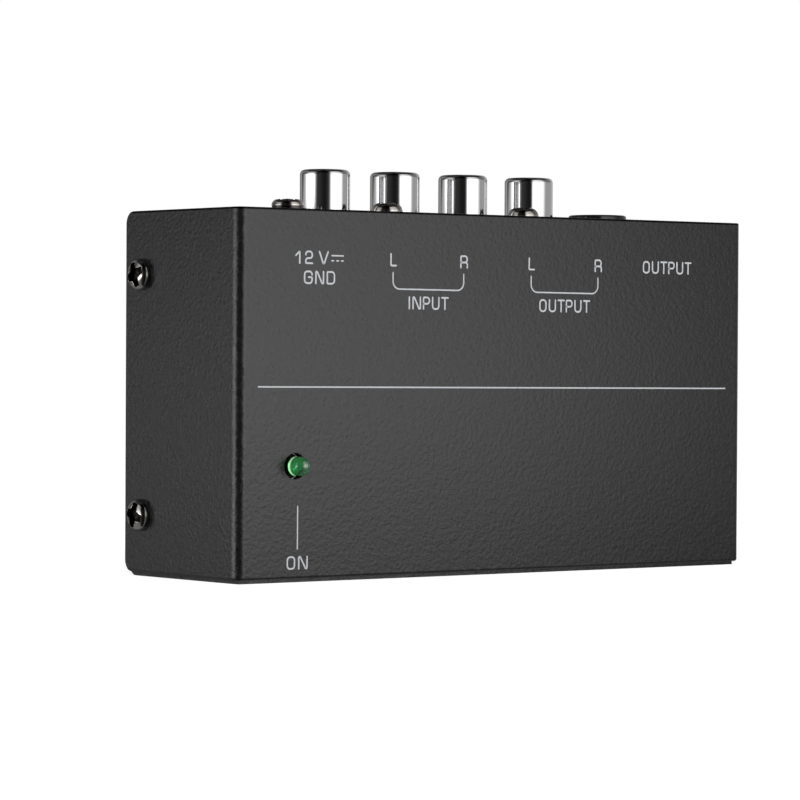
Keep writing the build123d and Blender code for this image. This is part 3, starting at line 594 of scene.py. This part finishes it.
def pan_screw(length, height):
    """Screw along +Z with its seat at z = 0: rings from the point to the rim of the recess, then rings of the recess.
    The thread is a triangle wave of radius over height / pitch - angle / full turn. The flank is an arc of radius
    bulge round (middle, flank_rise), and inside middle the crown falls by crown_rise * (r / middle) ^ 2."""
    outline = cross_outline()
    columns = len(outline)
    angle = np.arange(columns) * 2 * math.pi / columns
    circle = np.stack([np.cos(angle), np.sin(angle)], 1)
    bulge = height - crown_rise - flank_rise
    middle = head_radius - bulge
    rings = []

    def ring(flat, level):
        rings.append(np.concatenate([flat, np.full((columns, 1), level)], 1))

    def on_crown(flat, deep=0.0):
        reach = np.linalg.norm(flat, axis=1)
        flank = flank_rise + np.sqrt(np.maximum(bulge ** 2 - np.maximum(reach - middle, 0) ** 2, 0))
        level = np.where(reach > middle, flank, height - crown_rise * (reach / middle) ** 2)
        return np.concatenate([flat, (level - deep)[:, None]], 1)

    ring(circle * 0.0, -length)
    ring(circle * (thread_radius - thread_depth - point_break), -length)
    for level in np.arange(-length + thread_depth, -thread_stop, thread_pitch / thread_rings):
        wave = np.abs(((level / thread_pitch - angle / (2 * math.pi)) % 1.0) * 2 - 1)
        ring(circle * (thread_radius - thread_depth * wave)[:, None], level)
    ring(circle * (thread_radius - thread_depth / 2), -neck_level)
    ring(circle * (thread_radius - thread_depth / 2), 0.0)
    foot = max(foot_turn, -math.degrees(math.asin(min(1.0, flank_rise / bulge))))
    ring(circle * (middle + bulge * math.cos(math.radians(foot)) - seat_break), 0.0)
    for turn in np.radians(np.linspace(foot, shoulder_turn, flank_rings)):
        ring(circle * (middle + bulge * math.cos(turn)), max(flank_rise + bulge * math.sin(turn), 0.0))
    shoulder = middle + bulge * math.cos(math.radians(shoulder_turn))
    for share in crown_shares:
        rings.append(on_crown(circle * shoulder * (1 - share) + outline * share))
    rings.append(on_crown(outline, rim_break))
    head = np.stack(rings)
    rings = [rings[-1]]
    for share, deep in recess_steps:
        rings.append(on_crown(outline * share, deep))
    ring(outline * floor_share, height - floor_depth)
    ring(circle * 0.0, height - point_depth)
    return [head, np.stack(rings)]


def turned_to(grid, axis, place):
    """Grid along +Z turned so that +Z points along the named axis, then moved to a place in millimetres."""
    turn = {"+z": [[1, 0, 0], [0, 1, 0], [0, 0, 1]], "-x": [[0, 0, -1], [0, 1, 0], [1, 0, 0]],
            "+x": [[0, 0, 1], [0, 1, 0], [-1, 0, 0]], "-y": [[1, 0, 0], [0, 0, -1], [0, 1, 0]]}[axis]
    return grid @ np.array(turn, float).T + np.array(place, float)


def screw_at(place, axis, length, height, degrees):
    """Grids of a screw with its seat at place and its head along the named axis, stopped at a turn in degrees."""
    turn = math.radians(degrees)
    spin = np.array([[math.cos(turn), -math.sin(turn), 0], [math.sin(turn), math.cos(turn), 0], [0, 0, 1]])
    return [turned_to(grid @ spin.T, axis, place) for grid in pan_screw(length, height)]


low, high = (np.array(corner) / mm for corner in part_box("case_screws"))
case_end = [corner[0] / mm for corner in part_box("cover")]
y = (low[1] + high[1]) / 2
grids = []
for z, left_spin, right_spin in ((low[2] + head_radius, -16, 31), (high[2] - head_radius, 21, 63)):
    grids += screw_at((case_end[0], y, z), "-x", case_screw_length, head_height, left_spin)
    grids += screw_at((case_end[1], y, z), "+x", case_screw_length, head_height, right_spin)
case_screws = join_grids("case_screw_set", grids, finishes=(0, 1))
finish_with(case_screws, nickel, recess_nickel_painted_shade)
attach(case_screws, "case")
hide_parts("case_screws")

# ---- Block screws ----
# The same kind of screw, one between each pair of phono jacks: it holds the moulded jack block up against the panel.
low, high = (np.array(corner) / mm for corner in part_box("block_screws"))
block_screw_length, block_head_height = 7.0, 1.95
y, seat = (low[1] + high[1]) / 2, low[2] + block_screw_length
grids = []
for x, spin in ((low[0] + head_radius, 25), (high[0] - head_radius, 70)):
    grids += screw_at((x, y, seat), "+z", block_screw_length, block_head_height, spin)
block_screws = join_grids("block_screw_set", grids, finishes=(0, 1))
finish_with(block_screws, nickel, recess_nickel_painted_shade)
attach(block_screws, "case")
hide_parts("block_screws")

# ---- Ground terminal ----
# Nickel screw with a captive washer: loosened by hand or driver, both rise and the turntable's ground lead goes under
# the washer. A ring lug, a nut and a green wire take the contact to the board behind the panel.
low, high = (np.array(corner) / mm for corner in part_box("ground_screw"))
ground_screw_length, ground_head_height, ground_spin = 8.4, 1.5, 8
seat = ((low[0] + high[0]) / 2, (low[1] + high[1]) / 2, low[2] + ground_screw_length)
ground_screw = join_grids(
    "ground_terminal_screw", screw_at(seat, "+z", ground_screw_length, ground_head_height, ground_spin),
    finishes=(0, 1))
finish_with(ground_screw, nickel, recess_nickel_painted_shade)
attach(ground_screw, "terminal_screw")
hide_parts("ground_screw")
washer_nickel = make_finish("washer_nickel", (0.09, 0.085, 0.08), 0.16, 0.2, 0.0006, shade=0.06, Metallic=1.0)
dress(washer_nickel, "ground_washer")
zinc = make_finish("zinc_plate", (0.60, 0.60, 0.58), 0.32, 0.3, 0.001, shade=0.06, Metallic=1.0)
tin = make_finish("tin_plate", (0.68, 0.68, 0.66), 0.28, 0.25, 0.001, shade=0.05, Metallic=1.0)
wire_green = make_finish("wire_cover", (0.02, 0.28, 0.08), 0.45, 0.4, 0.001, shade=0.05)
dress(zinc, "ground_nut", "board_bosses", "board_screws")
dress(tin, "ground_lug", "led_leads", "power_jack_pin")
dress(wire_green, "ground_wire")

# ---- Phono jacks ----
# Drawn and chromed shells in a black moulded block, with a white core on the left channels and a red one on the
# right. In each core is a tin-plated tube that grips the plug's pin.
chrome = make_finish(
    "shell_chrome", (0.80, 0.80, 0.81), 0.07, 0.35, 0.0004, shade=0.02, gloss_swing=0.015, Metallic=1.0)
black_plastic = make_finish("black_plastic", (0.018, 0.018, 0.020), 0.38, 0.35, 0.002, shade=0.08)
white_plastic = make_finish("white_plastic", (0.78, 0.77, 0.73), 0.32, 0.5, 0.001, shade=0.02)
red_plastic = make_finish("red_plastic", (0.55, 0.022, 0.020), 0.32, 0.5, 0.001, shade=0.04)
core_radius, core_mouth, core_lip, core_chamfer = 2.95, 2.0, 0.35, 0.12
core_edge = [(0, 0.25), (0.08, 0.07), (0.28, 0)]  # rounded outer edge, as (inwards, down)
groove_outer, groove_inner, groove_slope, groove_depth = 2.55, 2.37, 0.05, 0.12
lathe_steps = 64


def lathe(profile, place):
    """Surface of revolution about +Z through place: each (radius, height) of the profile becomes a ring."""
    angle = np.arange(lathe_steps) * 2 * math.pi / lathe_steps
    profile = np.array(profile, float)
    ring = np.stack([np.cos(angle), np.sin(angle), np.zeros(lathe_steps)], 1)
    rise = profile[:, 1, None, None] * np.array([0.0, 0.0, 1.0])
    return profile[:, 0, None, None] * ring + rise + np.array(place, float)


def core_profile(foot, mouth):
    """Closed outline of a jack's core: rounded outer edge, a shallow groove in the face, and a countersunk bore."""
    edge = [(core_radius - inwards, mouth - down) for inwards, down in core_edge]
    groove = [(groove_outer, mouth), (groove_outer - groove_slope, mouth - groove_depth),
              (groove_inner + groove_slope, mouth - groove_depth), (groove_inner, mouth)]
    bore = [(core_mouth + core_lip, mouth), (core_mouth + core_chamfer, mouth - core_chamfer),
            (core_mouth, mouth - core_lip)]
    return [(core_mouth, foot), (core_radius, foot)] + edge + groove + bore


for node, slot_name, plastic in (
    ("left_channel_inserts", "white_plastic", white_plastic),
    ("right_channel_inserts", "red_plastic", red_plastic),
):
    low, high = (np.array(corner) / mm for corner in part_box(node))
    y = (low[1] + high[1]) / 2
    centres = [(low[0] + core_radius, y, 0.0), (high[0] - core_radius, y, 0.0)]
    cores = join_grids(node.replace("inserts", "cores"),
                       [lathe(core_profile(low[2], high[2]), centre) for centre in centres], closed_rows=True)
    finish_with(cores, plastic)
    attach(cores, "case")
    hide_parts(node)
dress(chrome, "input_jack_shells", "output_jack_shells")
dress(black_plastic, "input_jack_block", "output_jack_block")
dress(tin, "jack_centre_contacts")

# ---- Power jack and stereo jack ----
# Black moulded sockets behind the panel: the power jack's round nose is flush with it, and the stereo jack's bushing
# stands a little proud. Bronze leaves inside press on the plugs.
bronze = make_finish("spring_bronze", (0.60, 0.42, 0.20), 0.26, 0.3, 0.001, shade=0.06, Metallic=1.0)
gloss_black = make_finish(
    "gloss_black", (0.008, 0.008, 0.009), 0.12, 0.35, 0.001, shade=0.08, **{"Specular IOR Level": 0.6})
dress(black_plastic, "power_jack_body")
dress(gloss_black, "stereo_jack_body")
dress(bronze, "power_jack_spring", "stereo_jack_contacts")

# ---- Power light ----
# A 3 mm light of green tinted epoxy, with a dome that stands out through the front and a flange behind the hole. A
# ring round the dome's foot glows pale green, most on its lower side and next to the face: a painted glow in place of
# lamp light refracted through the dome, for the light itself is off. The lens behind the face is painted nearly black
# green for the shade in the hole. The chip's cup and a post are cast in it, and a white spacer holds it off the
# board.
lens_radius, lens_flange, lens_flange_end, lens_corner = 1.46, 1.90, 0.35, 0.06
lens_clear = 0.12  # outside the cover's face, where the part painted dark for shade ends and the ring begins
lens_ring = 0.62  # height of the ring
dome_rings = 13
# Painted glow of the ring, in place of lamp light refracted through the dome: the light is off.
painted_glow_strength, painted_glow_colour = 0.75, (0.30, 0.95, 0.36)
painted_glow_full, painted_glow_end = 0.10, 0.95  # above the light's axis: where the glow starts to fade, and where it ends
painted_glow_least = 0.13  # share of the glow left at the ring's outer edge
cup_side, post_side = -0.15, 0.85
lens_green = make_finish("green_lens", (0.07, 0.58, 0.17), 0.03, 1.2, 0.0003, shade=0.06, gloss_swing=0.01)
shader = lens_green.node_tree.nodes["Principled BSDF"]
for name, value in (("Transmission Weight", 0.85), ("IOR", 1.54), ("Coat Weight", 1.0), ("Coat IOR", 2.0),
                    ("Coat Roughness", 0.02)):
    shader.inputs[name].default_value = value
# The lens behind the face: the same epoxy painted nearly black green for the shade inside the hole.
lens_painted_shade = make_finish(
    "green_lens_painted_shade", (0.0015, 0.010, 0.004), 0.35, 1.2, 0.0003, shade=0.06, **{"Specular IOR Level": 0.1})

low, high = (np.array(corner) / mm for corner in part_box("led"))
seat = ((low[0] + high[0]) / 2, high[1], (low[2] + high[2]) / 2)
cover_front = np.array(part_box("cover")[0])[1] / mm
lens_length = high[1] - low[1]
ring_foot = high[1] - cover_front + lens_clear
ring_top = ring_foot + lens_ring
# The ring's painted glow: pale green emission, strongest low down and next to the face, fading up and outwards.
painted_glow_ring = make_finish(
    "green_lens_painted_glow", (0.50, 0.92, 0.50), 0.28, 0.4, 0.0005, shade=0.05, **{"Emission Strength": painted_glow_strength})
tree = painted_glow_ring.node_tree
place = new_node(tree, "ShaderNodeTexCoord")
level = new_node(tree, "ShaderNodeSeparateXYZ")
painted_glow_low = new_node(tree, "ShaderNodeMapRange", {"interpolation_type": "SMOOTHSTEP"}, {
    "From Min": (seat[2] + painted_glow_full) * mm, "From Max": (seat[2] + painted_glow_end) * mm, "To Min": 1.0, "To Max": 0.0})
painted_glow_near = new_node(tree, "ShaderNodeMapRange", {"interpolation_type": "SMOOTHSTEP"}, {
    "From Min": (seat[1] - ring_top) * mm, "From Max": (seat[1] - ring_foot) * mm,
    "To Min": painted_glow_least, "To Max": 1.0})
painted_glow_share = new_node(tree, "ShaderNodeMath", {"operation": "MULTIPLY"})
glow = new_node(tree, "ShaderNodeVectorMath", {"operation": "SCALE"})
glow.inputs[0].default_value = painted_glow_colour
link(tree, [
    (place.outputs["Object"], level.inputs["Vector"]),
    (level.outputs["Z"], painted_glow_low.inputs["Value"]),
    (level.outputs["Y"], painted_glow_near.inputs["Value"]),
    (painted_glow_low.outputs["Result"], painted_glow_share.inputs[0]),
    (painted_glow_near.outputs["Result"], painted_glow_share.inputs[1]),
    (painted_glow_share.outputs["Value"], glow.inputs["Scale"]),
    (glow.outputs["Vector"], tree.nodes["Principled BSDF"].inputs["Emission Color"]),
])
behind = [(0, 0), (lens_flange - lens_corner, 0), (lens_flange, lens_corner),
          (lens_flange, lens_flange_end - lens_corner), (lens_flange - lens_corner, lens_flange_end),
          (lens_radius, lens_flange_end), (lens_radius, ring_foot)]
ring = [(lens_radius, ring_foot), (lens_radius, ring_top)]
dome = [(lens_radius, ring_top)]
for turn in np.radians(np.linspace(0, 90, dome_rings)):
    dome.append((lens_radius * math.cos(turn), lens_length + lens_radius * (math.sin(turn) - 1)))
light_lens = join_grids(
    "light_lens", [turned_to(lathe(part, (0, 0, 0)), "-y", seat) for part in (behind, ring, dome)],
    finishes=(1, 2, 0))
finish_with(light_lens, lens_green, lens_painted_shade, painted_glow_ring)
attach(light_lens, "case")
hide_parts("led")
cup = [(0, 0.05), (0.30, 0.05), (0.30, 1.50), (0.62, 1.85), (0.62, 2.30), (0.54, 2.30), (0.30, 1.95), (0, 1.95)]
post = [(0, 0.05), (0.22, 0.05), (0.22, 2.05), (0, 2.05)]
light_cup = join_grids("light_cup", [
    turned_to(lathe(cup, (cup_side, 0, 0)), "-y", seat), turned_to(lathe(post, (post_side, 0, 0)), "-y", seat)])
finish_with(light_cup, tin)
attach(light_cup, "case")
dress(white_plastic, "led_spacer")

# ---- Circuit board and its parts ----
# Glass-fibre board in green solder mask, screwed to four zinc-plated bosses. On it are lacquered resistors, moulded
# chips, boxed film capacitors, sleeved cans and one diode.
board_green = make_finish("board_green", (0.02, 0.16, 0.07), 0.28, 2.5, 0.002, shade=0.08)
lacquer = make_finish("resistor_lacquer", (0.52, 0.34, 0.16), 0.42, 0.6, 0.002, shade=0.08)
chip_black = make_finish("chip_black", (0.022, 0.022, 0.022), 0.55, 0.25, 0.003, shade=0.10)
film_red = make_finish("film_box", (0.42, 0.045, 0.02), 0.30, 0.6, 0.001, shade=0.05)
sleeve = make_finish("can_sleeve", (0.02, 0.02, 0.035), 0.30, 1.0, 0.002, shade=0.06)
dress(board_green, "circuit_board")
dress(lacquer, "resistors")
dress(chip_black, "preamp_chips", "supply_diode")
dress(film_red, "film_capacitors")
dress(sleeve, "electrolytic_capacitors")
